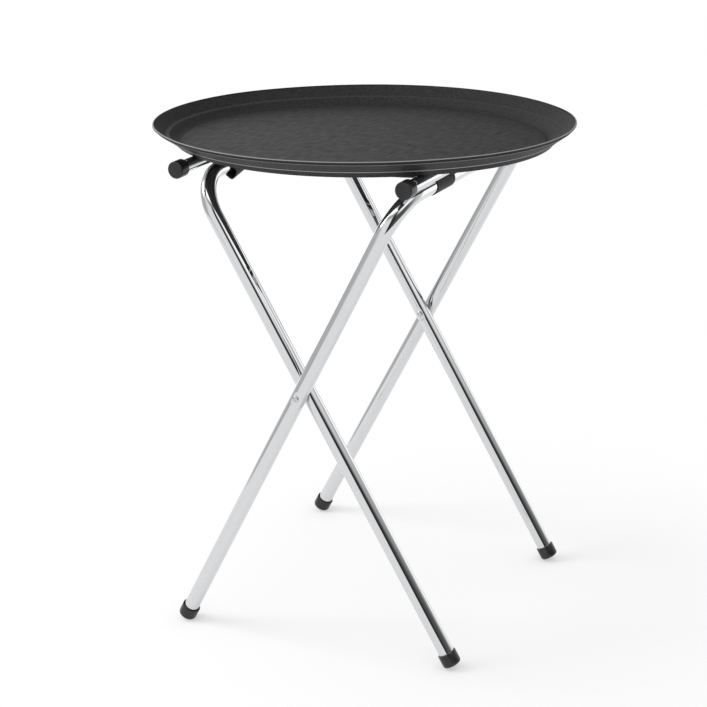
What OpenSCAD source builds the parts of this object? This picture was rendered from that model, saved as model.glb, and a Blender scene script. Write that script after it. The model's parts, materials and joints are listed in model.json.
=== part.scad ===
// Folding tray stand: two crossed tube frames on rivets, webbing straps and a loose oval tray
// Z is up, X is the way the stand opens, and the floor is at Z = 0

/* [Frames] */
// Outer diameter of the leg tube
tube_d = 25; // [22:0.5:28]
// Wall of the leg tube
tube_wall = 1.2; // [1:0.1:2]
// Distance between the axes of the inner frame's legs
inner_w = 414; // [380:1:460]
// Gap between an inner and an outer leg where they cross
leg_gap = 3; // [2:0.25:6]
// Height of the pivot above the floor
pivot_h = 431; // [400:1:470]
// Angle of each frame from upright when open
half_angle = 29.25; // [24:0.25:33]
// Distance along the leg from the pivot to the axis of the cross tube
cross_h = 368.7; // [330:0.1:400]
// Centreline radius of the bends between legs and cross tube
bend_r = 65; // [50:1:80]

/* [Upper bars] */
// Outer diameter of the upper bars
bar_d = 20; // [18:0.5:22]
// Wall of the upper bars
bar_wall = 1.2; // [1:0.1:2]
// Length of the bar tube
bar_l = 482; // [460:1:520]
// Length of a weld bead between bar and cross tube
weld_l = 30; // [15:1:36]
// Width of a weld bead
weld_w = 6; // [4:0.5:8]

/* [Caps and feet] */
// Wall of the bar's end caps round the bar
cap_wall = 3.5; // [2:0.25:4]
// Length of the bar's end caps
cap_l = 20; // [14:0.5:26]
// Thickness of the closed end of the caps
cap_end = 3.4; // [2.5:0.1:5]
// Rounding of the caps' edge
cap_round = 2; // [1:0.25:3]
// Wall of the feet round the tube
foot_wall = 2.5; // [1:0.1:3]
// Length of the feet
foot_l = 22; // [18:0.5:30]
// Thickness of the feet under the tube's end
foot_end = 5; // [4:0.5:8]
// Rounding of the feet's lower edge
foot_round = 5; // [3:0.25:7]

/* [Pivots] */
// Diameter of the rivet's shank
rivet_d = 6; // [5:0.25:7]
// Diameter of the rivet's heads
rivet_head_d = 11; // [9.5:0.25:11.5]
// Height of the rivet's heads
rivet_head_h = 2.5; // [1.5:0.1:3.5]
// Depth of the flats pressed into the legs at the pivot
flat_depth = 1.3; // [1:0.05:1.8]
// Length of the flats along the leg
flat_l = 20; // [14:0.5:26]
// Diameter of the spacer washer between the legs
spacer_d = 10.5; // [9:0.25:11]

/* [Straps] */
// Width of the webbing
strap_w = 60; // [40:1:80]
// Thickness of the webbing
strap_t = 1.2; // [0.8:0.1:2]
// Distance from the strap's edge to the start of the inner frame's bend
strap_edge = 12; // [1:0.5:20]

/* [Tray] */
// Length of the oval tray, the way the stand opens
tray_l = 688; // [620:1:760]
// Width of the oval tray
tray_w = 570; // [500:1:600]
// Height of the tray
tray_h = 31; // [28:0.25:36]
// Thickness of the tray's floor
floor_t = 2.4; // [2:0.1:3]
// Thickness of the non-slip lining on the floor
lining_t = 0.8; // [0.5:0.1:1.2]
// Width of the rim's top edge
rim_w = 2.8; // [2.4:0.1:4]
// Height of the rim's outer edge
rim_t = 2.8; // [2:0.1:4]
// How far the rim overhangs the skirt under it
rim_over = 2.2; // [1.5:0.1:2.4]
// Thickness of the upright skirt under the rim
skirt_t = 1.8; // [1.4:0.1:2.4]
// Depth of the skirt, from the rim's top
skirt_depth = 7.6; // [6:0.1:9]
// Distance from the rim's edge in to the ledge
ledge_inset = 22; // [18:0.5:26]
// Depth of the ledge below the rim's top
ledge_depth = 16.6; // [15:0.1:18]
// Width of the ledge
ledge_w = 2.2; // [1:0.1:3]
// Thickness of the wall under the ledge, measured upright
ledge_t = 4.4; // [3.4:0.1:5]
// Width of the ridge that the ledge makes on the outside
ridge_w = 3; // [2:0.1:4]
// Distance from the rim's edge in to the edge of the base
base_inset = 35; // [32:0.5:40]
// Width of the bend from the wall to the flat of the floor
floor_bend = 5; // [4:0.5:8]
// Rounding of the small edges of the tray
tray_edge = 0.6; // [0.4:0.1:0.8]

/* [Clearances] */
// Play of the rivet in its holes, on the radius
rivet_play = 0.05; // [0.02:0.01:0.1]
// Play along the rivet on each side of the inner leg
pivot_play = 0.1; // [0.05:0.01:0.2]
// Play of caps and feet on their tubes, on the radius
push_fit = 0.05; // [0.02:0.01:0.1]
// Play of the webbing on each side, round the tubes and under the bars
strap_play = 0.2; // [0.1:0.05:0.4]
// Gap between the bars and the tray that stands on them
tray_seat = 0.3; // [0.1:0.05:0.5]

/* [Hidden] */
// Facets of the round parts, and of the tray's wide arcs
$fn = 96;
wide_fn = 180;

// How far a cutting shape stands out of what it cuts, and how far joined shapes overlap
cut = 1;
strap_lap = 2;

// Frames, in the plane of each frame with the pivot at its origin
tube_r = tube_d / 2;
outer_w = inner_w + 2 * (tube_d + leg_gap);
bar_gap = strap_t + 2 * strap_play;
bar_h = cross_h + tube_r + bar_gap + bar_d / 2;
leg_flat = tube_r - flat_depth;
flat_gap = tube_d + leg_gap - 2 * leg_flat;

// Caps and feet, and how far a tilted foot's rounded edge lies below the middle of its end
cap_d = bar_d + 2 * cap_wall;
foot_d = tube_d + 2 * foot_wall;
foot_drop = foot_round + (foot_d / 2 - foot_round) * sin(half_angle) - foot_round * cos(half_angle);
foot_reach = (pivot_h - foot_drop) / cos(half_angle);
leg_end = foot_reach - foot_end;

// Straps
strap_in_r = tube_r + strap_play;
strap_out_r = strap_in_r + strap_t;
strap_y = inner_w / 2 - bend_r - strap_edge - strap_w / 2;
cross_x = cross_h * sin(half_angle);
cross_z = pivot_h + cross_h * cos(half_angle);
weld_y = (strap_y - strap_w / 2) / 2;

// Tray: an oval of four quarter arcs that meet at 45 degrees to its axes
// Their places are whole eighths of a millimetre, so that arcs which meet have equal coordinates
function whole(v) = round(v * 8) / 8;
arc_join = 45;
arc_step = whole((tray_l - tray_w) / 4 / (sqrt(2) - 1));
arc_c = arc_step * sqrt(2);
end_r = whole(tray_l / 2 - arc_c);
side_r = end_r + 2 * arc_step;

// Tray section as distance in from the edge and height: inside with the floor, underside, rim
wall_inside = [
    [tray_edge, tray_h],
    [rim_w, tray_h],
    [rim_over + skirt_t, tray_h - rim_t - tray_edge],
    [ledge_inset, tray_h - ledge_depth],
    [ledge_inset + ledge_w, tray_h - ledge_depth - tray_edge],
    [base_inset + ridge_w / 2, floor_t + tray_edge],
    [base_inset + floor_bend, floor_t],
    [side_r, floor_t],
];
wall_under = [
    [side_r, 0],
    [base_inset, 0],
    [ledge_inset + ledge_w + ridge_w, tray_h - ledge_depth - ledge_t - tray_edge],
    [ledge_inset + ridge_w, tray_h - ledge_depth - ledge_t],
    [rim_over + skirt_t, tray_h - skirt_depth],
];
wall_rim = [
    [rim_over, tray_h - skirt_depth + tray_edge * 2],
    [rim_over, tray_h - rim_t - tray_edge],
    [tray_edge, tray_h - rim_t],
    [0, tray_h - rim_t + tray_edge],
    [0, tray_h - tray_edge],
];
tray_section = concat(wall_inside, wall_under, wall_rim);
lining_section = [
    [base_inset + floor_bend, floor_t],
    [base_inset + floor_bend, floor_t + lining_t],
    [side_r, floor_t + lining_t],
    [side_r, floor_t],
];

// The tray stands on the bars, or on their caps where it is wide enough to lie over them
bar_z = pivot_h + bar_h * cos(half_angle);
cap_x = bar_h * sin(half_angle) - cap_d / 2;
cap_y = bar_l / 2 + cap_end - cap_l;
cap_inset = cap_y > cap_x - arc_c
    ? side_r - norm([cap_x, cap_y + arc_c])
    : end_r - norm([cap_x - arc_c, cap_y]);
cap_room = lookup(cap_inset, wall_under);
tray_z = max(bar_z + bar_d / 2, bar_z + cap_d / 2 - cap_room) + tray_seat;

// Places a frame drawn upright at its pivot and leans it, top towards +X for the outer frame
module lean(side) {
    translate([0, 0, pivot_h]) rotate([0, side * half_angle, 0]) children();
}

// Cylinder along Y from y0 to y1
module along_y(r, y0, y1) {
    translate([0, y0, 0]) rotate([-90, 0, 0]) cylinder(r = r, h = y1 - y0);
}

// Solid U of one radius: two legs, two bends and the cross tube
module u_rod(r, w, down) {
    for (s = [-1, 1]) {
        translate([0, s * w / 2, -down]) cylinder(r = r, h = down + cross_h - bend_r);
        translate([0, s * (w / 2 - bend_r), cross_h - bend_r])
            rotate([0, -90, 0]) rotate([0, 0, s > 0 ? 0 : -90])
                rotate_extrude(angle = 90) translate([bend_r, 0]) circle(r = r);
    }
    translate([0, 0, cross_h]) along_y(r, bend_r - w / 2, w / 2 - bend_r);
}

// What the pressed flats take off both sides of both legs, measured from each leg's axis
module leg_flats(w, reach, l) {
    for (s = [-1, 1]) {
        translate([0, s * w / 2, 0]) along_y(l / 2, reach, tube_d);
        translate([0, s * w / 2, 0]) along_y(l / 2, -tube_d, -reach);
    }
}

module leg_frame(w) {
    difference() {
        u_rod(tube_r, w, leg_end);
        leg_flats(w, leg_flat, flat_l);
        difference() {
            u_rod(tube_r - tube_wall, w, leg_end + cut);
            leg_flats(w, leg_flat - tube_wall, flat_l + 2 * tube_wall);
        }
        along_y(rivet_d / 2 + rivet_play, -w / 2 - tube_d, w / 2 + tube_d);
    }
}

module upper_bar() {
    translate([0, 0, bar_h]) difference() {
        along_y(bar_d / 2, -bar_l / 2, bar_l / 2);
        along_y(bar_d / 2 - bar_wall, -bar_l / 2 - cut, bar_l / 2 + cut);
    }
}

// Beads that fill the gap between bar and cross tube, between the straps
module bar_welds() {
    for (s = [-1, 1]) difference() {
        translate([-weld_w / 2, s * weld_y - weld_l / 2, cross_h])
            cube([weld_w, weld_l, bar_h - cross_h]);
        translate([0, 0, cross_h]) along_y(tube_r, s * weld_y - weld_l, s * weld_y + weld_l);
        translate([0, 0, bar_h]) along_y(bar_d / 2, s * weld_y - weld_l, s * weld_y + weld_l);
    }
}

// Cup with a rounded closed end: the closed end lies at z = 0 and the mouth at z = l
module cup(d, bore, l, end, edge) {
    rotate_extrude() difference() {
        union() {
            translate([0, edge]) square([d / 2, l - edge]);
            square([d / 2 - edge, l]);
            translate([d / 2 - edge, edge]) circle(r = edge);
        }
        translate([0, end]) square([bore / 2, l]);
        translate([-edge, 0]) square([edge, l]);
    }
}

module bar_cap(side) {
    translate([0, side * (bar_l / 2 + cap_end), bar_h]) rotate([side * 90, 0, 0])
        cup(cap_d, bar_d + 2 * push_fit, cap_l, cap_end, cap_round);
}

module foot(w, side) {
    translate([0, side * w / 2, -foot_reach])
        cup(foot_d, tube_d + 2 * push_fit, foot_l, foot_end, foot_round);
}

// Domed rivet head standing on z = 0
module rivet_head() {
    dome_r = (pow(rivet_head_d / 2, 2) + pow(rivet_head_h, 2)) / (2 * rivet_head_h);
    intersection() {
        translate([0, 0, rivet_head_h - dome_r]) sphere(r = dome_r);
        cylinder(r = rivet_head_d / 2, h = rivet_head_h);
    }
}

module pivot_rivet(side) {
    head_y = outer_w / 2 + leg_flat;
    tail_y = inner_w / 2 - leg_flat - pivot_play;
    translate([0, 0, pivot_h]) mirror([0, side < 0 ? 1 : 0, 0]) {
        along_y(rivet_d / 2, tail_y, head_y);
        translate([0, head_y, 0]) rotate([-90, 0, 0]) rivet_head();
        translate([0, tail_y, 0]) rotate([90, 0, 0]) rivet_head();
    }
}

module pivot_spacer(side) {
    face_y = outer_w / 2 - leg_flat;
    translate([0, 0, pivot_h]) mirror([0, side < 0 ? 1 : 0, 0]) difference() {
        along_y(spacer_d / 2, face_y - flat_gap + pivot_play, face_y);
        along_y(rivet_d / 2 + rivet_play, face_y - flat_gap - cut, face_y + cut);
    }
}

// Webbing strap: a loop round each cross tube and the span between their tops
module strap(side) {
    translate([0, side * strap_y - strap_w / 2, cross_z]) difference() {
        union() {
            for (s = [-1, 1]) translate([s * cross_x, 0, 0]) along_y(strap_out_r, 0, strap_w);
            translate([strap_lap - cross_x, 0, strap_in_r])
                cube([2 * (cross_x - strap_lap), strap_w, strap_t]);
        }
        for (s = [-1, 1]) translate([s * cross_x, 0, 0]) along_y(strap_in_r, -cut, strap_w + cut);
    }
}

// Quarter turn of a section whose edge is at the given radius, closed at the axis
module quarter_arc(r, section) {
    rotate_extrude(angle = 2 * arc_join, $fn = wide_fn)
        polygon([for (p = section) [max(r - whole(p[0]), 0), p[1]]]);
}

// Oval of four quarter arcs, two at the ends and two along the sides
module oval_body(section) {
    translate([0, 0, tray_z]) rotate([0, 0, -arc_join]) for (turn = [0, 180]) rotate([0, 0, turn]) {
        translate([arc_step, arc_step, 0]) quarter_arc(end_r, section);
        translate([arc_step, -arc_step, 0]) rotate([0, 0, 90]) quarter_arc(side_r, section);
    }
}

// Outer frame
module outer_leg_frame() { color("silver") lean(1) leg_frame(outer_w); }
module outer_upper_bar() { color("silver") lean(1) upper_bar(); }
module outer_bar_welds() { color("gray") lean(1) bar_welds(); }
module outer_bar_cap_front() { color("#222222") lean(1) bar_cap(-1); }
module outer_bar_cap_rear() { color("#222222") lean(1) bar_cap(1); }
module outer_foot_front() { color("#222222") lean(1) foot(outer_w, -1); }
module outer_foot_rear() { color("#222222") lean(1) foot(outer_w, 1); }

// Inner frame
module inner_leg_frame() { color("silver") lean(-1) leg_frame(inner_w); }
module inner_upper_bar() { color("silver") lean(-1) upper_bar(); }
module inner_bar_welds() { color("gray") lean(-1) bar_welds(); }
module inner_bar_cap_front() { color("#222222") lean(-1) bar_cap(-1); }
module inner_bar_cap_rear() { color("#222222") lean(-1) bar_cap(1); }
module inner_foot_front() { color("#222222") lean(-1) foot(inner_w, -1); }
module inner_foot_rear() { color("#222222") lean(-1) foot(inner_w, 1); }

// Pivots
module pivot_rivet_front() { color("lightgray") pivot_rivet(-1); }
module pivot_rivet_rear() { color("lightgray") pivot_rivet(1); }
module pivot_spacer_front() { color("ivory") pivot_spacer(-1); }
module pivot_spacer_rear() { color("ivory") pivot_spacer(1); }

// Straps
module front_strap() { color("#181818") strap(-1); }
module rear_strap() { color("#181818") strap(1); }

// Tray
module tray_shell() { color("#303030") oval_body(tray_section); }
module tray_lining() { color("#484848") oval_body(lining_section); }

outer_leg_frame();
outer_upper_bar();
outer_bar_welds();
outer_bar_cap_front();
outer_bar_cap_rear();
outer_foot_front();
outer_foot_rear();
inner_leg_frame();
inner_upper_bar();
inner_bar_welds();
inner_bar_cap_front();
inner_bar_cap_rear();
inner_foot_front();
inner_foot_rear();
pivot_rivet_front();
pivot_rivet_rear();
pivot_spacer_front();
pivot_spacer_rear();
front_strap();
rear_strap();
tray_shell();
tray_lining();
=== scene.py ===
import json
import math

import bmesh
import bpy
from mathutils import Matrix, Quaternion, Vector


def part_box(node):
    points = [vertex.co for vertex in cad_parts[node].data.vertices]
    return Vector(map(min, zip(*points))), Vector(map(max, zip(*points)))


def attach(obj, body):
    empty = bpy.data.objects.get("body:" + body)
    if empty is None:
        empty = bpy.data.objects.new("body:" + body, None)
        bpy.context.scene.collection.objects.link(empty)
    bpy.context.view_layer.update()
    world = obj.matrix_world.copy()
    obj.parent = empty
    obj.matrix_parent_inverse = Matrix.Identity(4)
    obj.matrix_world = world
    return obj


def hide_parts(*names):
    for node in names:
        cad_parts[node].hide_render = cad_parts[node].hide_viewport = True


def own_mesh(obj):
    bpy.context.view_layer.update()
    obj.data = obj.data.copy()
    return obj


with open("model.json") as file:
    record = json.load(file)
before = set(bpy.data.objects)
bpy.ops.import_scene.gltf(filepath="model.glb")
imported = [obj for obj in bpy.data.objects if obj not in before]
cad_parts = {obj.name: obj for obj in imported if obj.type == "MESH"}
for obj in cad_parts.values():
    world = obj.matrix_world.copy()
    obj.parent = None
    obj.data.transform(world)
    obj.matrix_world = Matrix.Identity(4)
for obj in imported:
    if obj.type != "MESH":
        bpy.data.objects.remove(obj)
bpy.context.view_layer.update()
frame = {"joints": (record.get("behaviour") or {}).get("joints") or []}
print("frame loaded")

# pieces are modelled in millimetres and shrunk to metres when they are finished
mm = 0.001
fold = next(j for j in frame["joints"] if j["name"] == "frame_fold")
pivotHeight = fold["pos_m"][2] / mm


def boxSize(node, axis):
    low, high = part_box(node)
    return (high[axis] - low[axis]) / mm


# the two crossed frames, shared by everything that is fixed to them
stand = {
    "tube": 25.0,  # outside of the leg tube
    "bar": 20.0,  # outside of the upper bar
    "lean": 29.25,  # degrees from upright
    "crossHeight": 368.7,  # up the leg, from pivot to cross tube
    "barGap": 1.6,  # crevice for the webbing, between cross tube and bar
    "bendRadius": 65.0,
    "flatDepth": 1.3,  # pressed flats at the rivets
}
stand["barHeight"] = stand["crossHeight"] + (stand["tube"] + stand["bar"]) / 2 + stand["barGap"]
outerLegs = boxSize("outer_leg_frame", 1) - stand["tube"]
innerLegs = boxSize("inner_leg_frame", 1) - stand["tube"]
barLength = boxSize("outer_upper_bar", 1)
lean = math.radians(stand["lean"])
crossX = stand["crossHeight"] * math.sin(lean)
crossZ = pivotHeight + stand["crossHeight"] * math.cos(lean)
trayBase, trayTop = [corner.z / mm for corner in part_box("tray_shell")]

# name of the frame, side that its top leans to, distance between its legs
frameSides = [("outer", 1, outerLegs), ("inner", -1, innerLegs)]
ends = [("front", -1), ("rear", 1)]


def leanMatrix(side):
    return Matrix.Translation((0, 0, pivotHeight)) @ Matrix.Rotation(side * lean, 4, "Y")


# Materials

# sRGB hex to linear
def hexColour(text):
    parts = [int(text[i:i + 2], 16) / 255 for i in (1, 3, 5)]
    return [c / 12.92 if c <= 0.04045 else ((c + 0.055) / 1.055) ** 2.4 for c in parts] + [1]


def addNode(tree, kind, settings=None, inputs=None, links=None):
    node = tree.nodes.new(kind)
    for key, value in (settings or {}).items():
        setattr(node, key, value)
    for key, value in (inputs or {}).items():
        node.inputs[key].default_value = value
    for key, value in (links or {}).items():
        tree.links.new(value, node.inputs[key])
    return node


def newMaterial(name, metallic=0.0, ior=None, specular=None):
    material = bpy.data.materials.new(name)
    material.use_nodes = True
    tree = material.node_tree
    shader = tree.nodes["Principled BSDF"]
    shader.inputs["Metallic"].default_value = metallic
    if ior is not None:
        shader.inputs["IOR"].default_value = ior
    if specular is not None:
        shader.inputs["Specular IOR Level"].default_value = specular
    coord = addNode(tree, "ShaderNodeTexCoord")
    return material, tree, shader, coord


def wireUp(tree, shader, colour, rough, relief=None):
    tree.links.new(colour.outputs["Result"], shader.inputs["Base Color"])
    tree.links.new(rough.outputs["Result"], shader.inputs["Roughness"])
    if relief:
        tree.links.new(relief.outputs["Normal"], shader.inputs["Normal"])


# pattern scale for a real size in millimetres
def perMm(size):
    return 1 / (size * mm)


# bright chrome on drawn steel tube: a mirror with faint waves and a soft haze from polishing
chromeLook = {"colour": "#DCDDDE", "hazeColour": "#D2D3D5", "wave": 26.0, "haze": 5.0}
chrome, tree, shader, coord = newMaterial("chromePlatedSteel", metallic=1.0)
wave = addNode(tree, "ShaderNodeTexNoise", inputs={"Scale": perMm(chromeLook["wave"]), "Detail": 1.0},
               links={"Vector": coord.outputs["Object"]})
haze = addNode(tree, "ShaderNodeTexNoise", inputs={"Scale": perMm(chromeLook["haze"]), "Detail": 4.0},
               links={"Vector": coord.outputs["Object"]})
rough = addNode(tree, "ShaderNodeMapRange",
                inputs={"From Min": 0.35, "From Max": 0.7, "To Min": 0.012, "To Max": 0.04},
                links={"Value": haze.outputs["Fac"]})
tint = addNode(tree, "ShaderNodeMix", {"data_type": "RGBA"},
               {"A": hexColour(chromeLook["colour"]), "B": hexColour(chromeLook["hazeColour"])},
               {"Factor": haze.outputs["Fac"]})
bump = addNode(tree, "ShaderNodeBump", inputs={"Strength": 0.12, "Distance": 0.1 * mm},
               links={"Height": wave.outputs["Fac"]})
wireUp(tree, shader, tint, rough, bump)

# bright nickel rivet: turned head, a little softer in its shine than the tube
rivetLook = {"colour": "#D3D3D2", "dull": "#B9B9B8", "marks": 0.8}
rivetSteel, tree, shader, coord = newMaterial("nickelPlatedRivet", metallic=1.0)
marks = addNode(tree, "ShaderNodeTexNoise", inputs={"Scale": perMm(rivetLook["marks"]), "Detail": 3.0},
                links={"Vector": coord.outputs["Object"]})
rough = addNode(tree, "ShaderNodeMapRange", inputs={"To Min": 0.16, "To Max": 0.34},
                links={"Value": marks.outputs["Fac"]})
tint = addNode(tree, "ShaderNodeMix", {"data_type": "RGBA"},
               {"A": hexColour(rivetLook["colour"]), "B": hexColour(rivetLook["dull"])},
               {"Factor": marks.outputs["Fac"]})
bump = addNode(tree, "ShaderNodeBump", inputs={"Strength": 0.15, "Distance": 0.08 * mm},
               links={"Height": marks.outputs["Fac"]})
wireUp(tree, shader, tint, rough, bump)

# black soft PVC, moulded: satin, with a fine spark grain and rubbed grey on raised spots
pvcLook = {"colour": "#19191A", "rubbedAndHighlit": "#2A2A2B", "grain": 0.9, "patches": 14.0}
blackPvc, tree, shader, coord = newMaterial("mouldedBlackPvc", ior=1.53, specular=0.38)
grain = addNode(tree, "ShaderNodeTexNoise", inputs={"Scale": perMm(pvcLook["grain"]), "Detail": 2.0},
                links={"Vector": coord.outputs["Object"]})
patches = addNode(tree, "ShaderNodeTexNoise", inputs={"Scale": perMm(pvcLook["patches"]), "Detail": 5.0},
                  links={"Vector": coord.outputs["Object"]})
rubbedAndHighlit = addNode(tree, "ShaderNodeMapRange", inputs={"From Min": 0.42, "From Max": 0.7},
                 links={"Value": patches.outputs["Fac"]})
tint = addNode(tree, "ShaderNodeMix", {"data_type": "RGBA"},
               {"A": hexColour(pvcLook["colour"]), "B": hexColour(pvcLook["rubbedAndHighlit"])},
               {"Factor": rubbedAndHighlit.outputs["Result"]})
rough = addNode(tree, "ShaderNodeMapRange", inputs={"To Min": 0.2, "To Max": 0.34},
                links={"Value": patches.outputs["Fac"]})
bump = addNode(tree, "ShaderNodeBump", inputs={"Strength": 0.25, "Distance": 0.12 * mm},
               links={"Height": grain.outputs["Fac"]})
wireUp(tree, shader, tint, rough, bump)

# natural nylon washers: milky, waxy white
nylonLook = {"colour": "#D9D5C8", "wornAndHighlit": "#BEB9AB", "cloud": 2.5}
nylon, tree, shader, coord = newMaterial("naturalNylon", ior=1.53)
cloud = addNode(tree, "ShaderNodeTexNoise", inputs={"Scale": perMm(nylonLook["cloud"]), "Detail": 3.0},
                links={"Vector": coord.outputs["Object"]})
tint = addNode(tree, "ShaderNodeMix", {"data_type": "RGBA"},
               {"A": hexColour(nylonLook["colour"]), "B": hexColour(nylonLook["wornAndHighlit"])},
               {"Factor": cloud.outputs["Fac"]})
rough = addNode(tree, "ShaderNodeMapRange", inputs={"To Min": 0.35, "To Max": 0.5},
                links={"Value": cloud.outputs["Fac"]})
wireUp(tree, shader, tint, rough)

# black polypropylene webbing, plain woven: matt ribs across the strap, drawn coarse enough to show
webbingLook = {"yarn": "#161617", "wornAndHighlit": "#4A4A4C", "ribs": 2.4, "warp": 1.6, "fuzz": 0.5}
webbing, tree, shader, coord = newMaterial("wovenBlackWebbing", ior=1.49)
split = addNode(tree, "ShaderNodeSeparateXYZ", links={"Vector": coord.outputs["UV"]})
ribAngle = addNode(tree, "ShaderNodeMath", {"operation": "MULTIPLY"},
                   {1: math.tau / (webbingLook["ribs"] * mm)}, {0: split.outputs["X"]})
warpAngle = addNode(tree, "ShaderNodeMath", {"operation": "MULTIPLY"},
                    {1: math.tau / (webbingLook["warp"] * mm)}, {0: split.outputs["Y"]})
rib = addNode(tree, "ShaderNodeMath", {"operation": "SINE"}, links={0: ribAngle.outputs[0]})
warp = addNode(tree, "ShaderNodeMath", {"operation": "SINE"}, links={0: warpAngle.outputs[0]})
over = addNode(tree, "ShaderNodeMath", {"operation": "MULTIPLY"},
               links={0: rib.outputs[0], 1: warp.outputs[0]})
weave = addNode(tree, "ShaderNodeMapRange", inputs={"From Min": -1.0, "From Max": 1.0},
                links={"Value": over.outputs[0]})
fuzz = addNode(tree, "ShaderNodeTexNoise", inputs={"Scale": perMm(webbingLook["fuzz"]), "Detail": 3.0},
               links={"Vector": coord.outputs["Object"]})
tint = addNode(tree, "ShaderNodeMix", {"data_type": "RGBA"},
               {"A": hexColour(webbingLook["yarn"]), "B": hexColour(webbingLook["wornAndHighlit"])},
               {"Factor": weave.outputs["Result"]})
rough = addNode(tree, "ShaderNodeMapRange", inputs={"To Min": 0.6, "To Max": 0.85},
                links={"Value": fuzz.outputs["Fac"]})
bump = addNode(tree, "ShaderNodeBump", inputs={"Strength": 0.8, "Distance": 0.35 * mm},
               links={"Height": weave.outputs["Result"]})
fuzzBump = addNode(tree, "ShaderNodeBump", inputs={"Strength": 0.3, "Distance": 0.1 * mm},
                   links={"Height": fuzz.outputs["Fac"], "Normal": bump.outputs["Normal"]})
wireUp(tree, shader, tint, rough, fuzzBump)

# bonded polyester sewing thread: dark with a soft shine along the twist
threadLook = {"colour": "#262627", "shine": "#3D3D3F", "twist": 0.5}
thread, tree, shader, coord = newMaterial("bondedThread", ior=1.5)
twist = addNode(tree, "ShaderNodeTexNoise", inputs={"Scale": perMm(threadLook["twist"]), "Detail": 1.0},
                links={"Vector": coord.outputs["Object"]})
tint = addNode(tree, "ShaderNodeMix", {"data_type": "RGBA"},
               {"A": hexColour(threadLook["colour"]), "B": hexColour(threadLook["shine"])},
               {"Factor": twist.outputs["Fac"]})
rough = addNode(tree, "ShaderNodeMapRange", inputs={"To Min": 0.4, "To Max": 0.6},
                links={"Value": twist.outputs["Fac"]})
wireUp(tree, shader, tint, rough)

# black moulded fibreglass: satin, with a moulded grain drawn coarser than the real one, and a painted
# highlight in thin grey lines on the rim, under its groove, on the ridge round the wall and on the ledge
# that a stacked tray sits on
shellLook = {
    # the lightest grey is painted highlight, for the lines on the rim, ridge, crease and ledge
    "colour": "#161617", "grey": "#2E2E30", "rubbedAndHighlit": "#909092", "grain": 2.6, "flow": 60.0,
    "rimFrom": 1.4, "rimFull": 0.6,  # depths below the top of the rim, where its painted highlight starts and where it is full
    "ridge": (21.2, 1.4, 1.0),  # depth below the top of the rim, width of the painted highlight line, how strongly it is painted
    "crease": (5.9, 1.3, 0.45),
    "ledge": (16.8, 1.2, 0.06),
    "facing": 0.005,  # how far a face has to look outwards to be on the outside
}
trayPlastic, tree, shader, coord = newMaterial("mouldedTrayFibreglass", ior=1.5, specular=0.23)
grain = addNode(tree, "ShaderNodeTexNoise", inputs={"Scale": perMm(shellLook["grain"]), "Detail": 2.0},
                links={"Vector": coord.outputs["Object"]})
flow = addNode(tree, "ShaderNodeTexNoise", inputs={"Scale": perMm(shellLook["flow"]), "Detail": 4.0},
               links={"Vector": coord.outputs["Object"]})
speck = addNode(tree, "ShaderNodeMapRange", inputs={"From Min": 0.36, "From Max": 0.66},
                links={"Value": grain.outputs["Fac"]})
tint = addNode(tree, "ShaderNodeMix", {"data_type": "RGBA"},
               {"A": hexColour(shellLook["colour"]), "B": hexColour(shellLook["grey"])},
               {"Factor": speck.outputs["Result"]})
split = addNode(tree, "ShaderNodeSeparateXYZ", links={"Vector": coord.outputs["Object"]})
# painted highlight along the top of the rim
rim = addNode(tree, "ShaderNodeMapRange",
              inputs={"From Min": (trayTop - shellLook["rimFrom"]) * mm,
                      "From Max": (trayTop - shellLook["rimFull"]) * mm},
              links={"Value": split.outputs["Z"]})
paintedHighlightLines = {}
# painted highlight lines round the shell at the ridge, the crease and the ledge
for place in ("ridge", "crease", "ledge"):
    depth, width, wear = shellLook[place]
    line = addNode(tree, "ShaderNodeMath", {"operation": "COMPARE"},
                   {1: (trayTop - depth) * mm, 2: width / 2 * mm}, {0: split.outputs["Z"]})
    paintedHighlightLines[place] = addNode(tree, "ShaderNodeMath", {"operation": "MULTIPLY"}, {1: wear},
                               {0: line.outputs[0]})
lines = addNode(tree, "ShaderNodeMath", {"operation": "MAXIMUM"},
                links={0: paintedHighlightLines["ridge"].outputs[0], 1: paintedHighlightLines["crease"].outputs[0]})
edges = addNode(tree, "ShaderNodeMath", {"operation": "MAXIMUM"},
                links={0: rim.outputs["Result"], 1: lines.outputs[0]})
level = addNode(tree, "ShaderNodeVectorMath", {"operation": "MULTIPLY"}, {1: (1, 1, 0)},
                {0: coord.outputs["Normal"]})
outwards = addNode(tree, "ShaderNodeVectorMath", {"operation": "DOT_PRODUCT"},
                   links={0: coord.outputs["Object"], 1: level.outputs["Vector"]})
outside = addNode(tree, "ShaderNodeMath", {"operation": "GREATER_THAN"}, {1: shellLook["facing"]},
                  {0: outwards.outputs["Value"]})
# outside, the painted highlight goes on the rim, ridge and crease; inside, it goes only on the ledge
rubbedAndHighlit = addNode(tree, "ShaderNodeMix", {"data_type": "FLOAT"},
                 links={"Factor": outside.outputs[0], "A": paintedHighlightLines["ledge"].outputs[0],
                        "B": edges.outputs[0]})
# the painted highlight lines lighten the shell's grained colour
wornAndHighlit = addNode(tree, "ShaderNodeMix", {"data_type": "RGBA"}, {"B": hexColour(shellLook["rubbedAndHighlit"])},
               {"Factor": rubbedAndHighlit.outputs["Result"], "A": tint.outputs["Result"]})
rough = addNode(tree, "ShaderNodeMapRange", inputs={"To Min": 0.54, "To Max": 0.66},
                links={"Value": flow.outputs["Fac"]})
bump = addNode(tree, "ShaderNodeBump", inputs={"Strength": 0.5, "Distance": 0.2 * mm},
               links={"Height": grain.outputs["Fac"]})
wireUp(tree, shader, wornAndHighlit, rough, bump)

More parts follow.
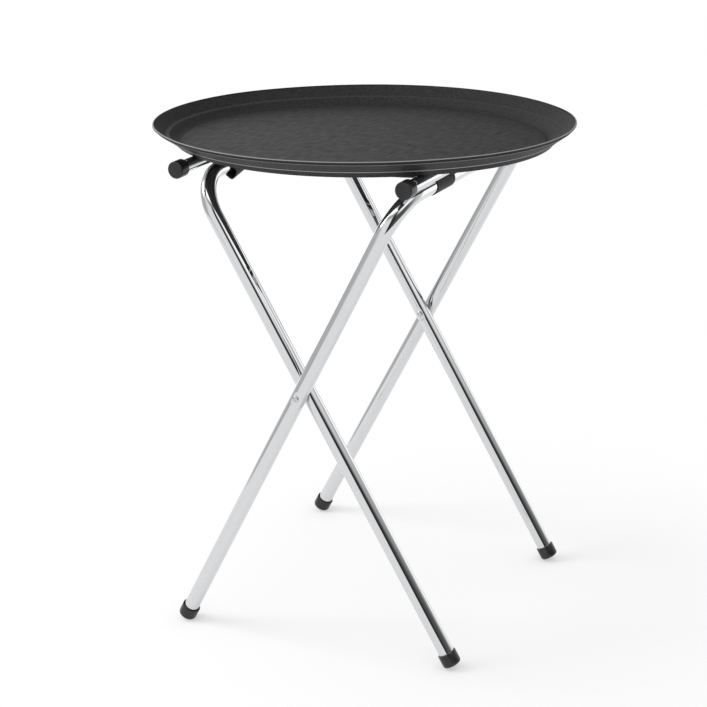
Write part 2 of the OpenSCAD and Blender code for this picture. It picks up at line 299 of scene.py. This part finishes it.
# non-slip rubber sheet on the tray's floor: pebbled, with shallow wrinkles, both coarser than the real ones
liningLook = {"colour": "#18181A", "grey": "#29292B", "pebble": 2.2,
              "wrinkle": 6.5, "stretch": 2.8, "turn": -22.0}  # degrees from the tray's width
liningRubber, tree, shader, coord = newMaterial("pebbledLiningRubber", ior=1.5, specular=0.3)
pebble = addNode(tree, "ShaderNodeTexVoronoi", inputs={"Scale": perMm(liningLook["pebble"])},
                 links={"Vector": coord.outputs["Object"]})
drawn = addNode(tree, "ShaderNodeMapping", {"vector_type": "TEXTURE"},
                {"Rotation": (0, 0, math.radians(liningLook["turn"])),
                 "Scale": (1, liningLook["stretch"], 1)},
                {"Vector": coord.outputs["Object"]})
wrinkle = addNode(tree, "ShaderNodeTexNoise", inputs={"Scale": perMm(liningLook["wrinkle"]), "Detail": 5.0},
                  links={"Vector": drawn.outputs["Vector"]})
wornAndHighlit = addNode(tree, "ShaderNodeMapRange", inputs={"From Min": 0.34, "From Max": 0.68},
               links={"Value": wrinkle.outputs["Fac"]})
tint = addNode(tree, "ShaderNodeMix", {"data_type": "RGBA"},
               {"A": hexColour(liningLook["colour"]), "B": hexColour(liningLook["grey"])},
               {"Factor": wornAndHighlit.outputs["Result"]})
rough = addNode(tree, "ShaderNodeMapRange", inputs={"To Min": 0.58, "To Max": 0.48},
                links={"Value": wornAndHighlit.outputs["Result"]})
bump = addNode(tree, "ShaderNodeBump", inputs={"Strength": 0.3, "Distance": 0.25 * mm},
               links={"Height": pebble.outputs["Distance"]})
wrinkleBump = addNode(tree, "ShaderNodeBump", inputs={"Strength": 0.4, "Distance": 0.5 * mm},
                      links={"Height": wrinkle.outputs["Fac"], "Normal": bump.outputs["Normal"]})
wireUp(tree, shader, tint, rough, wrinkleBump)
print("materials made")


# Modelling helpers, in millimetres
mergeGap = 0.002  # points closer than this become one
roundSteps = 5


# body says where a finished piece belongs; edges sharper than the angle stay crisp
def finishPiece(bm, name, material, body, replaces=(), place=None, sharp=38):
    bmesh.ops.remove_doubles(bm, verts=bm.verts[:], dist=mergeGap)
    if place is not None:
        bmesh.ops.transform(bm, matrix=place, verts=bm.verts[:])
    bmesh.ops.scale(bm, vec=(mm, mm, mm), verts=bm.verts[:])
    bmesh.ops.recalc_face_normals(bm, faces=bm.faces[:])
    for face in bm.faces:
        face.smooth = True
    for edge in bm.edges:
        edge.smooth = not edge.is_manifold or edge.calc_face_angle(0) < math.radians(sharp)
    mesh = bpy.data.meshes.new(name)
    bm.to_mesh(mesh)
    bm.free()
    mesh.materials.append(material)
    piece = bpy.data.objects.new(name, mesh)
    bpy.context.scene.collection.objects.link(piece)
    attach(piece, body)
    if replaces:
        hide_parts(*replaces)
    return piece


# wire through (across, up, rounding) corners, in the plane of x and z
def outline(bm, corners, closed=False):
    verts = [bm.verts.new((c[0], 0, c[1])) for c in corners]
    pairs = list(zip(verts, verts[1:])) + ([(verts[-1], verts[0])] if closed else [])
    for a, b in pairs:
        bm.edges.new((a, b))
    for vert, corner in zip(verts, corners):
        if corner[2]:
            bmesh.ops.bevel(bm, geom=[vert], offset=corner[2], offset_type="OFFSET", segments=roundSteps,
                            profile=0.5, affect="VERTICES", material=-1)


# a round piece about the z axis
def lathe(corners, around=72, closed=False):
    bm = bmesh.new()
    outline(bm, corners, closed)
    bmesh.ops.spin(bm, geom=bm.verts[:] + bm.edges[:], cent=(0, 0, 0), axis=(0, 0, 1), dvec=(0, 0, 0),
                   angle=math.tau, steps=around, use_merge=True, use_duplicate=False)
    return bm


# draws open edges out into a new strip of wall
def pulled(bm, edges, step):
    made = bmesh.ops.extrude_edge_only(bm, edges=edges)["geom"]
    bmesh.ops.translate(bm, vec=step, verts=[g for g in made if isinstance(g, bmesh.types.BMVert)])
    return [g for g in made if isinstance(g, bmesh.types.BMEdge)]


def smoothStep(value, low, high):
    t = min(1, max(0, (value - low) / (high - low)))
    return t * t * (3 - 2 * t)


# Leg frames: one tube bent to a U, with flats pressed where the rivets pass
legTube = {"around": 96, "bendSteps": 30, "flatInside": 8.0, "flatOutside": 13.0, "flatEdge": 0.7,
           "fineReach": 18, "fineStep": 1.5, "footEnd": 5.0, "footRound": 5.0, "foot": 30.0}
footEdge = legTube["foot"] / 2 - legTube["footRound"]
footDrop = legTube["footRound"] * (1 - math.cos(lean)) + footEdge * math.sin(lean)
footReach = (pivotHeight - footDrop) / math.cos(lean)
legEnd = footReach - legTube["footEnd"]
tubeRadius = stand["tube"] / 2


# carries the tube's end round a quarter bend
def turned(bm, edges, centre):
    verts = list({v for e in edges for v in e.verts})
    made = bmesh.ops.spin(bm, geom=verts + edges, cent=centre, axis=(-1, 0, 0), dvec=(0, 0, 0),
                          angle=math.pi / 2, steps=legTube["bendSteps"],
                          use_merge=False, use_duplicate=False)
    return [g for g in made["geom_last"] if isinstance(g, bmesh.types.BMEdge)]


def pressFlats(bm, legSpan):
    for vert in bm.verts:
        legY = math.copysign(legSpan / 2, vert.co.y)
        away = math.hypot(vert.co.x, vert.co.z)
        out = vert.co.y - legY
        if abs(vert.co.z) < legTube["fineReach"]:
            press = 1 - smoothStep(away, legTube["flatInside"], legTube["flatOutside"])
            limit = tubeRadius - stand["flatDepth"] * press
            soft = legTube["flatEdge"] * press + 0.001  # never quite nothing, as it divides
            near = max(soft - abs(abs(out) - limit), 0) / soft
            flat = min(abs(out), limit) - near * near * soft / 4
            vert.co.y = legY + math.copysign(flat, out)


def bentTube(legSpan):
    bm = bmesh.new()
    bmesh.ops.create_circle(bm, cap_ends=False, radius=tubeRadius, segments=legTube["around"])
    bmesh.ops.translate(bm, vec=(0, -legSpan / 2, -legEnd), verts=bm.verts[:])
    first = bm.edges[:]
    steps = int(legTube["fineReach"] / legTube["fineStep"])
    levels = [-legEnd] + [i * legTube["fineStep"] for i in range(-steps, steps + 1)]
    levels.append(stand["crossHeight"] - stand["bendRadius"])
    rises = [b - a for a, b in zip(levels, levels[1:])]
    edges = first
    for rise in rises:
        edges = pulled(bm, edges, (0, 0, rise))
    bendY = legSpan / 2 - stand["bendRadius"]
    edges = turned(bm, edges, (0, -bendY, levels[-1]))
    edges = pulled(bm, edges, (0, 2 * bendY, 0))
    edges = turned(bm, edges, (0, bendY, levels[-1]))
    for rise in reversed(rises):
        edges = pulled(bm, edges, (0, 0, -rise))
    pressFlats(bm, legSpan)
    bmesh.ops.edgeloop_fill(bm, edges=first)
    bmesh.ops.edgeloop_fill(bm, edges=edges)
    return bm


for label, side, legSpan in frameSides:
    finishPiece(bentTube(legSpan), label + "LegTube", chrome, label + "_frame",
                [label + "_leg_frame"], leanMatrix(side))
print("leg frames bent")

# Upper bars: straight tube over each cross tube
barTube = {"wall": 1.2, "edge": 0.3, "around": 96}
barRadius = stand["bar"] / 2
layFlat = Matrix.Rotation(math.pi / 2, 4, "X")
for label, side, legSpan in frameSides:
    hole = barRadius - barTube["wall"]
    half = barLength / 2
    bm = lathe([(barRadius, -half, barTube["edge"]), (barRadius, half, barTube["edge"]),
                (hole, half, barTube["edge"]), (hole, -half, barTube["edge"])], barTube["around"], True)
    place = leanMatrix(side) @ Matrix.Translation((0, 0, stand["barHeight"])) @ layFlat
    finishPiece(bm, label + "UpperBar", chrome, label + "_frame",
                [label + "_upper_bar"], place)
print("bars made")

# Welds: rippled beads along both sides of the crevice, plated over with the frame
weld = {"length": 30.0, "middle": 35.0, "ripples": 11, "across": 3.4, "proud": 1.5, "inset": 2.6,
        "tilt": 24.0, "overlap": 0.95}
for label, side, legSpan in frameSides:
    bm = bmesh.new()
    pitch = weld["length"] / weld["ripples"]
    crevice = stand["crossHeight"] + tubeRadius + stand["barGap"] / 2
    for end in (-1, 1):
        for face in (-1, 1):
            for i in range(weld["ripples"]):
                along = end * weld["middle"] + (i - (weld["ripples"] - 1) / 2) * pitch
                place = Matrix.Translation((face * weld["inset"], along, crevice))
                place = place @ Matrix.Rotation(face * math.radians(weld["tilt"]), 4, "Z")
                size = (weld["proud"], pitch * weld["overlap"], weld["across"] / 2, 1)
                place = place @ Matrix.Diagonal(size)
                bmesh.ops.create_uvsphere(bm, u_segments=14, v_segments=8, radius=1, matrix=place)
    finishPiece(bm, label + "BarWelds", chrome, label + "_frame", [label + "_bar_welds"],
                leanMatrix(side), sharp=60)
print("welds laid")

# Caps on the bars and feet on the legs: moulded cups pushed over the tube ends
pushFit = 0.05
cap = {"across": 27.0, "length": 20.0, "end": 3.4, "round": 2.0, "mouth": 0.7, "seat": 0.3}
foot = {"across": legTube["foot"], "length": 22.0, "end": legTube["footEnd"], "round": legTube["footRound"],
        "mouth": 0.5, "seat": 0.3}


def cup(shape, tube):
    r = shape["across"] / 2
    bore = tube + pushFit
    return lathe([(0, 0, 0), (r, 0, shape["round"]), (r, shape["length"], shape["mouth"]),
                  (bore, shape["length"], shape["mouth"]), (bore, shape["end"], shape["seat"]),
                  (0, shape["end"], 0)])


for label, side, legSpan in frameSides:
    for end, way in ends:
        face = Matrix.Translation((0, way * (barLength / 2 + cap["end"]), stand["barHeight"]))
        place = leanMatrix(side) @ face @ Matrix.Rotation(way * math.pi / 2, 4, "X")
        finishPiece(cup(cap, barRadius), label + "BarCap." + end, blackPvc, label + "_frame",
                    [label + "_bar_cap_" + end], place)
        place = leanMatrix(side) @ Matrix.Translation((0, way * legSpan / 2, -footReach))
        finishPiece(cup(foot, tubeRadius), label + "Foot." + end, blackPvc, label + "_frame",
                    [label + "_foot_" + end], place)
print("caps and feet pushed on")

# Pivot rivets through both legs, with a washer between them
rivet = {"shank": 6.0, "head": 11.0, "dome": 2.5, "rim": 0.9, "around": 48,
         "dimple": 1.7, "dimpleDepth": 0.5, "dimpleEdge": 0.4,
         "crown": 1.6, "crownDrop": 0.4,  # where the dome turns down to the rim
         "play": 0.1}
washer = {"across": 10.5, "edge": 0.25, "fit": 0.05}
legFlat = tubeRadius - stand["flatDepth"]
for end, way in ends:
    headAt = outerLegs / 2 + legFlat
    tailAt = innerLegs / 2 - legFlat - rivet["play"]
    r = rivet["head"] / 2
    d = rivet["dome"]
    half = [(0, d - rivet["dimpleDepth"], 0), (rivet["dimple"], d - rivet["dimpleDepth"], 0.3),
            (rivet["dimple"] + rivet["dimpleEdge"], d, 0.3),
            (r - rivet["crown"], d - rivet["crownDrop"], 1.2), (r, rivet["rim"], 0.5), (r, 0, 0.2)]
    corners = [(x, headAt + z, b) for x, z, b in half] + [(rivet["shank"] / 2, headAt, 0)]
    corners += [(rivet["shank"] / 2, tailAt, 0)] + [(x, tailAt - z, b) for x, z, b in reversed(half)]
    turn = Matrix.Translation((0, 0, pivotHeight)) @ Matrix.Rotation(-way * math.pi / 2, 4, "X")
    finishPiece(lathe(corners, rivet["around"]), "pivotRivet." + end, rivetSteel, "outer_frame",
                ["pivot_rivet_" + end], turn, sharp=50)
    bore = rivet["shank"] / 2 + washer["fit"]
    inside = innerLegs / 2 + legFlat + rivet["play"]
    outside = outerLegs / 2 - legFlat
    corners = [(bore, inside, washer["edge"]), (washer["across"] / 2, inside, washer["edge"]),
               (washer["across"] / 2, outside, washer["edge"]), (bore, outside, washer["edge"])]
    finishPiece(lathe(corners, rivet["around"], True), "pivotWasher." + end, nylon, "outer_frame",
                ["pivot_spacer_" + end], turn)
print("pivots riveted")

# Straps: webbing looped round both cross tubes and sewn to itself
strap = {
    "thick": 1.2, "edge": 0.35, "play": 0.2, "sag": 4.5,
    "across": 20, "leadSteps": 6, "loopSteps": 66, "tailSteps": 14, "lapSteps": 20, "spanSteps": 90,
    "split": 7.6,  # where loop and span meet, inside the tube's axis
    "loopEnds": 310.0,  # degrees round the tube, from its top
    "hangFrom": 146.0, "hangAt": 200.0,  # where round the tube the loop leaves it and hangs lowest
    "slack": {"front": {1: 0.6, -1: 9.3}, "rear": {1: 2.0, -1: 3.0}},  # by the side that the frame leans to
    "hangFade": 0.55,  # how fast the slack is lost across the strap
    "skew": {"front": {1: 0.0, -1: 14.0}, "rear": {1: 0.0, -1: 4.0}},  # how far loops have slid along y
    "skewFull": 70.0, "skewFades": 240.0,
    "lap": 44.0, "lapStarts": 24.0, "lapGap": 0.15,
}
stitch = {"pitch": 3.4, "long": 2.7, "wide": 0.8, "high": 0.6, "edge": 5.0, "starts": 3.0, "stops": 4.0}
strapWidth = boxSize("front_strap", 1)
strapRadius = tubeRadius + strap["play"] + strap["thick"] / 2
strapTop = crossZ + strapRadius
spanEnd = crossX - strap["split"]
loopTurns = [strap["loopEnds"] * i / strap["loopSteps"] for i in range(strap["loopSteps"] + 1)]


def spanHeight(x):
    return strapTop - strap["sag"] * (1 - (x / spanEnd) ** 2)


def spanRoute():
    xs = [spanEnd * (2 * i / strap["spanSteps"] - 1) for i in range(strap["spanSteps"] + 1)]
    return [(x, spanHeight(x)) for x in xs]


def loopRoute(side, slack):
    lead = [spanEnd + strap["split"] * i / strap["leadSteps"] for i in range(strap["leadSteps"])]
    route = [(side * x, strapTop) for x in lead]
    for turn in loopTurns:
        hang = (max(0, turn - strap["hangFrom"]) / (strap["hangAt"] - strap["hangFrom"])) ** 2
        if turn > strap["hangAt"]:
            hang = smoothStep(turn, strap["loopEnds"], strap["hangAt"])
        r = strapRadius + slack * hang
        angle = math.radians(turn)
        route.append((side * (crossX + r * math.sin(angle)), crossZ + r * math.cos(angle)))
    return route


def loopSkew(skew):
    slid = [0] * strap["leadSteps"]
    for turn in loopTurns:
        back = smoothStep(turn, strap["loopEnds"], strap["skewFades"])
        slid.append(skew * smoothStep(turn, 0, strap["skewFull"]) * back)
    return slid


def tailRoute(side):
    x, z = loopRoute(1, 0)[-1]
    start = crossX - strap["lapStarts"]
    under = strap["thick"] + strap["lapGap"]
    climb = spanHeight(start) - under - z
    parts = [i / strap["tailSteps"] for i in range(strap["tailSteps"])]
    route = [(x + (start - x) * part, z + climb * smoothStep(part, 0, 1)) for part in parts]
    inside = [start - strap["lap"] * i / strap["lapSteps"] for i in range(strap["lapSteps"] + 1)]
    route += [(x, spanHeight(x) - under) for x in inside]
    return [(side * x, z) for x, z in route]


def routeLength(route):
    return sum(math.dist(a, b) for a, b in zip(route, route[1:]))


# bends a flat strip of webbing along a route of (x, z) points; its front edge may follow a looser route,
# and each point may have slid along y
def layWebbing(bm, route, y, loose=None, slid=None):
    steps = len(route) - 1
    strip = bmesh.ops.create_grid(bm, x_segments=steps, y_segments=strap["across"], size=1)["verts"]
    uvs = bm.loops.layers.uv.verify()
    reach = [routeLength(route[:i + 1]) for i in range(steps + 1)]
    for vert in strip:
        i = round((vert.co.x + 1) / 2 * steps)
        across = vert.co.y * strapWidth / 2
        hang = max(0, 1 - strap["hangFade"] * (vert.co.y + 1))
        for corner in vert.link_loops:
            corner[uvs].uv = (reach[i] * mm, across * mm)
        spot = Vector(route[i]).lerp(Vector(loose[i]), hang) if loose else route[i]
        vert.co = (spot[0], y + across + (slid[i] if slid else 0), spot[1])


def finishWebbing(bm, name, body, replaces=()):
    piece = finishPiece(bm, name, webbing, body, replaces)
    thick = piece.modifiers.new("thickness", "SOLIDIFY")
    thick.thickness = strap["thick"] * mm
    thick.offset = 0
    soft = piece.modifiers.new("edge", "BEVEL")
    soft.width = strap["edge"] * mm
    soft.segments = 2
    soft.limit_method = "ANGLE"
    shown = piece.evaluated_get(bpy.context.evaluated_depsgraph_get())
    solid = bpy.data.meshes.new_from_object(shown)
    piece.modifiers.clear()
    piece.data = solid
    return piece


# one row of stitches from a to b, lying on the strap or under its lap
def stitchRow(bm, a, b, y, below):
    count = round(math.dist(a, b) / stitch["pitch"])
    heading = Matrix.Rotation(math.atan2(b[1] - a[1], b[0] - a[0]), 4, "Z")
    shape = Matrix.Diagonal((stitch["long"] / 2, stitch["wide"] / 2, stitch["high"] / 2, 1))
    lift = -strap["thick"] * 1.5 - strap["lapGap"] if below else strap["thick"] / 2
    row = bmesh.new()
    for i in range(count):
        x, across = Vector(a).lerp(Vector(b), (i + 0.5) / count)
        spot = Matrix.Translation((x, y + across, spanHeight(x) + lift))
        bmesh.ops.create_uvsphere(row, u_segments=6, v_segments=4, radius=1, matrix=spot @ heading @ shape)
    mesh = bpy.data.meshes.new("stitchRow")
    row.to_mesh(mesh)
    row.free()
    bm.from_mesh(mesh)
    bpy.data.meshes.remove(mesh)


for end, way in ends:
    node = end + "_strap"
    y = (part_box(node)[0].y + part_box(node)[1].y) / 2 / mm
    for label, side, legSpan in frameSides:
        route = loopRoute(side, 0)
        bm = bmesh.new()
        loose = loopRoute(side, strap["slack"][end][side])
        layWebbing(bm, route, y, loose, loopSkew(strap["skew"][end][side]))
        loop = finishWebbing(bm, end + "StrapLoop." + label, label + "_frame")
    strips = [spanRoute(), tailRoute(1), tailRoute(-1)]
    bm = bmesh.new()
    for route in strips:
        layWebbing(bm, route, y)
    span = finishWebbing(bm, end + "StrapSpan", "outer_frame", [node])
    bm = bmesh.new()
    edge = strapWidth / 2 - stitch["edge"]
    for side in (1, -1):
        near = side * (crossX - strap["lapStarts"] - stitch["starts"])
        far = side * (crossX - strap["lapStarts"] - strap["lap"] + stitch["stops"])
        box = [(near, -edge), (far, -edge), (far, edge), (near, edge)]
        rows = list(zip(box, box[1:] + box[:1])) + [(box[0], box[2]), (box[1], box[3])]
        for a, b in rows:
            stitchRow(bm, a, b, y, False)
            stitchRow(bm, a, b, y, True)
    stitches = finishPiece(bm, end + "StrapStitches", thread, "outer_frame")
    for piece in (span, stitches):
        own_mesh(piece)
print("straps sewn")

# Tray: one section carried round an oval of four quarter arcs
tray = {"length": 688.0, "width": 570.0, "floor": 2.4, "lining": 0.8, "arcSteps": 48,
        "floorInset": 60.0,  # where the flat floor is closed by one face
        "joinGap": 0.01, "levelGap": 0.05}
trayHeight = trayTop - trayBase
liningTop = tray["floor"] + tray["lining"]
# inset from the edge, height above the base, rounding
traySection = [
    (tray["floorInset"], tray["floor"], 0), (37.3, tray["floor"], 7.6),
    (26.2, trayHeight - 17.4, 0.8), (20.4, trayHeight - 16.9, 1.2), (3.4, trayHeight - 2.8, 0.8),
    (2.6, trayHeight, 0.6), (0, trayHeight - 0.2, 1.3), (0, trayHeight - 2.8, 0.6),
    (2.6, trayHeight - 3.6, 0.4), (2.6, trayHeight - 5.2, 0.5), (4.2, trayHeight - 6.8, 0.6),
    (24.6, trayHeight - 20.4, 0.5), (25.2, trayHeight - 21.8, 0.5), (27.6, trayHeight - 22.0, 0.8),
    (35.0, 0, 1.2), (tray["floorInset"], 0, 0),
]
liningSection = [
    (tray["floorInset"], tray["floor"], 0), (45.0, tray["floor"], 0),
    (47.5, liningTop, 0.8), (tray["floorInset"], liningTop, 0),
]
# the arcs' centres are kept to whole eighths of a millimetre, as in the CAD
arcStep = round((tray["length"] - tray["width"]) / 4 / (math.sqrt(2) - 1) * 8) / 8
arcCentre = arcStep * math.sqrt(2)
endRadius = tray["length"] / 2 - arcCentre


def ovalBody(section):
    bm = bmesh.new()
    outline(bm, [(endRadius - inset, up, edge) for inset, up, edge in section])
    bmesh.ops.rotate(bm, cent=(0, 0, 0), matrix=Matrix.Rotation(-math.pi / 4, 3, "Z"), verts=bm.verts[:])
    bmesh.ops.translate(bm, vec=(arcCentre, 0, trayBase), verts=bm.verts[:])
    wire = bm.verts[:] + bm.edges[:]
    for x, y in ((1, 0), (0, -1), (-1, 0), (0, 1)):
        made = bmesh.ops.spin(bm, geom=wire, cent=(x * arcCentre, y * arcCentre, 0), axis=(0, 0, 1),
                              dvec=(0, 0, 0), angle=math.pi / 2, steps=tray["arcSteps"],
                              use_merge=False, use_duplicate=False)
        wire = made["geom_last"]
    bmesh.ops.remove_doubles(bm, verts=bm.verts[:], dist=tray["joinGap"])
    for up in (section[0][1], section[-1][1]):
        level = trayBase + up
        hole = [e for e in bm.edges if e.is_boundary and abs(e.verts[0].co.z - level) < tray["levelGap"]]
        bmesh.ops.edgeloop_fill(bm, edges=hole)
    return bm


finishPiece(ovalBody(traySection), "trayShell", trayPlastic, "tray", ["tray_shell"])
finishPiece(ovalBody(liningSection), "trayLining", liningRubber, "tray", ["tray_lining"])
print("tray moulded")

# Camera at the photograph's angle
view = {"place": (1246.97, -2371.24, 1377.03), "lookAt": (-16.5, -23.0, 429.1), "roll": -2.2,
        "lens": 87.79, "sensor": 36}
camera = bpy.data.objects.new("camera", bpy.data.cameras.new("camera"))
bpy.context.scene.collection.objects.link(camera)
camera.data.lens = view["lens"]
camera.data.sensor_width = view["sensor"]
camera.location = Vector(view["place"]) * mm
aim = (Vector(view["lookAt"]) - Vector(view["place"])).to_track_quat("-Z", "Y")
camera.rotation_mode = "QUATERNION"
camera.rotation_quaternion = aim @ Quaternion((0, 0, 1), math.radians(view["roll"]))
bpy.context.scene.camera = camera
bpy.context.scene.view_settings.view_transform = "Standard"

# Stage: pale floor, studio walls that only the chrome and the gloss show, and one soft lamp from the left
stage = {"floor": "#FAFAFA", "floorRadius": 2.3,
         "whiteNear": 0.42, "whiteFrom": 0.38, "whiteFull": 0.95,  # plain white by distance, in metres
         "lampPlace": (-2.4, -0.9, 2.6), "lampAim": (0, 0, 0.4), "lampSize": 1.6, "lampPower": 44.0,
         "ambient": 0.88}
bm = bmesh.new()
bmesh.ops.create_circle(bm, cap_ends=True, radius=stage["floorRadius"], segments=128)
mesh = bpy.data.meshes.new("floor")
bm.to_mesh(mesh)
bm.free()
floor = bpy.data.objects.new("floor", mesh)
bpy.context.scene.collection.objects.link(floor)
# the paper is plain white away from the stand, and takes its shadow close to it
paper, tree, shader, coord = newMaterial("paleFloor")
shader.inputs["Base Color"].default_value = hexColour(stage["floor"])
shader.inputs["Roughness"].default_value = 1.0
shader.inputs["Specular IOR Level"].default_value = 0.0
away = addNode(tree, "ShaderNodeVectorMath", {"operation": "LENGTH"}, links={0: coord.outputs["Object"]})
fade = addNode(tree, "ShaderNodeMapRange", {"interpolation_type": "SMOOTHSTEP"},
               {"From Min": stage["whiteFrom"], "From Max": stage["whiteFull"],
                "To Min": stage["whiteNear"]},
               {"Value": away.outputs["Value"]})
white = addNode(tree, "ShaderNodeEmission", inputs={"Color": (1, 1, 1, 1), "Strength": 1.0})
both = addNode(tree, "ShaderNodeMixShader",
               links={0: fade.outputs["Result"], 1: shader.outputs["BSDF"], 2: white.outputs["Emission"]})
tree.links.new(both.outputs["Shader"], tree.nodes["Material Output"].inputs["Surface"])
mesh.materials.append(paper)

# brightness of the studio at heights above the horizon and round the compass, both in degrees:
# 0 is the front, 90 the side that the outer frame leans to
studio = [
    (15, [(-180, 0.25), (-168, 0.2), (-158, 0.3), (-150, 1.0), (-122, 1.4), (-106, 0.6), (-48, 0.57),
          (-36, 0.8), (-24, 1.0), (22, 1.0), (27, 0.03), (45, 0.03), (50, 0.08), (98, 0.13), (112, 0.35),
          (122, 0.62), (138, 0.75), (145, 1.5), (165, 1.5), (174, 0.4), (180, 0.25)]),
    (31, [(-180, 0.2), (-165, 0.2), (-150, 0.6), (-138, 0.9), (-60, 1.0), (18, 1.0), (24, 0.05),
          (44, 0.05), (52, 0.9), (62, 1.45), (105, 1.45), (118, 0.8), (150, 0.35), (180, 0.2)]),
    (42, [(-180, 0.12), (-120, 0.35), (-40, 0.5), (20, 0.3), (44, 0.3), (60, 1.2), (105, 1.2), (130, 0.3),
          (180, 0.12)]),
    (58, [(-180, 0.15), (-100, 0.3), (-70, 2.0), (70, 2.0), (100, 0.6), (180, 0.15)]),
    (74, [(-180, 0.4), (180, 0.4)]),
]
brightest = 4.0  # top of each curve
world = bpy.data.worlds.new("studio")
world.use_nodes = True
bpy.context.scene.world = world
tree = world.node_tree
coord = addNode(tree, "ShaderNodeTexCoord")
split = addNode(tree, "ShaderNodeSeparateXYZ", links={"Vector": coord.outputs["Generated"]})
front = addNode(tree, "ShaderNodeMath", {"operation": "MULTIPLY"}, {1: -1.0}, {0: split.outputs["Y"]})
compass = addNode(tree, "ShaderNodeMath", {"operation": "ARCTAN2"},
                  links={0: split.outputs["X"], 1: front.outputs[0]})
turn = addNode(tree, "ShaderNodeMapRange", inputs={"From Min": -math.pi, "From Max": math.pi},
               links={"Value": compass.outputs[0]})
walls = None
for height, points in studio:
    ring = addNode(tree, "ShaderNodeFloatCurve", links={"Value": turn.outputs["Result"]})
    curve = ring.mapping.curves[0]
    while len(curve.points) < len(points):
        curve.points.new(0.5, 0.5)
    for point, (angle, bright) in zip(curve.points, points):
        point.location = ((angle + 180) / 360, bright / brightest)
        point.handle_type = "VECTOR"
    ring.mapping.update()
    if walls is None:
        walls = ring.outputs[0]
    else:
        rise = addNode(tree, "ShaderNodeMapRange", {"interpolation_type": "SMOOTHSTEP"},
                       {"From Min": math.sin(math.radians(below)),
                        "From Max": math.sin(math.radians(height))},
                       {"Value": split.outputs["Z"]})
        step = addNode(tree, "ShaderNodeMix", {"data_type": "FLOAT"},
                       links={"Factor": rise.outputs["Result"], "A": walls, "B": ring.outputs[0]})
        walls = step.outputs["Result"]
    below = height
mirrored = addNode(tree, "ShaderNodeMath", {"operation": "MULTIPLY"}, {1: brightest}, {0: walls})
path = addNode(tree, "ShaderNodeLightPath")
lit = addNode(tree, "ShaderNodeMix", {"data_type": "FLOAT"}, {"A": stage["ambient"]},
              {"Factor": path.outputs["Is Glossy Ray"], "B": mirrored.outputs[0]})
behind = addNode(tree, "ShaderNodeMath", {"operation": "MAXIMUM"},
                 links={0: path.outputs["Is Camera Ray"], 1: path.outputs["Is Transmission Ray"]})
level = addNode(tree, "ShaderNodeMix", {"data_type": "FLOAT"}, {"B": 1.0},
                {"Factor": behind.outputs[0], "A": lit.outputs["Result"]})
tree.nodes["Background"].inputs["Color"].default_value = (1, 1, 1, 1)
tree.links.new(level.outputs["Result"], tree.nodes["Background"].inputs["Strength"])

lamp = bpy.data.objects.new("softLamp", bpy.data.lights.new("softLamp", "AREA"))
bpy.context.scene.collection.objects.link(lamp)
lamp.data.size = stage["lampSize"]
lamp.data.energy = stage["lampPower"]
lamp.location = stage["lampPlace"]
lamp.rotation_euler = (Vector(stage["lampAim"]) - lamp.location).to_track_quat("-Z", "Y").to_euler()
print("stage lit")
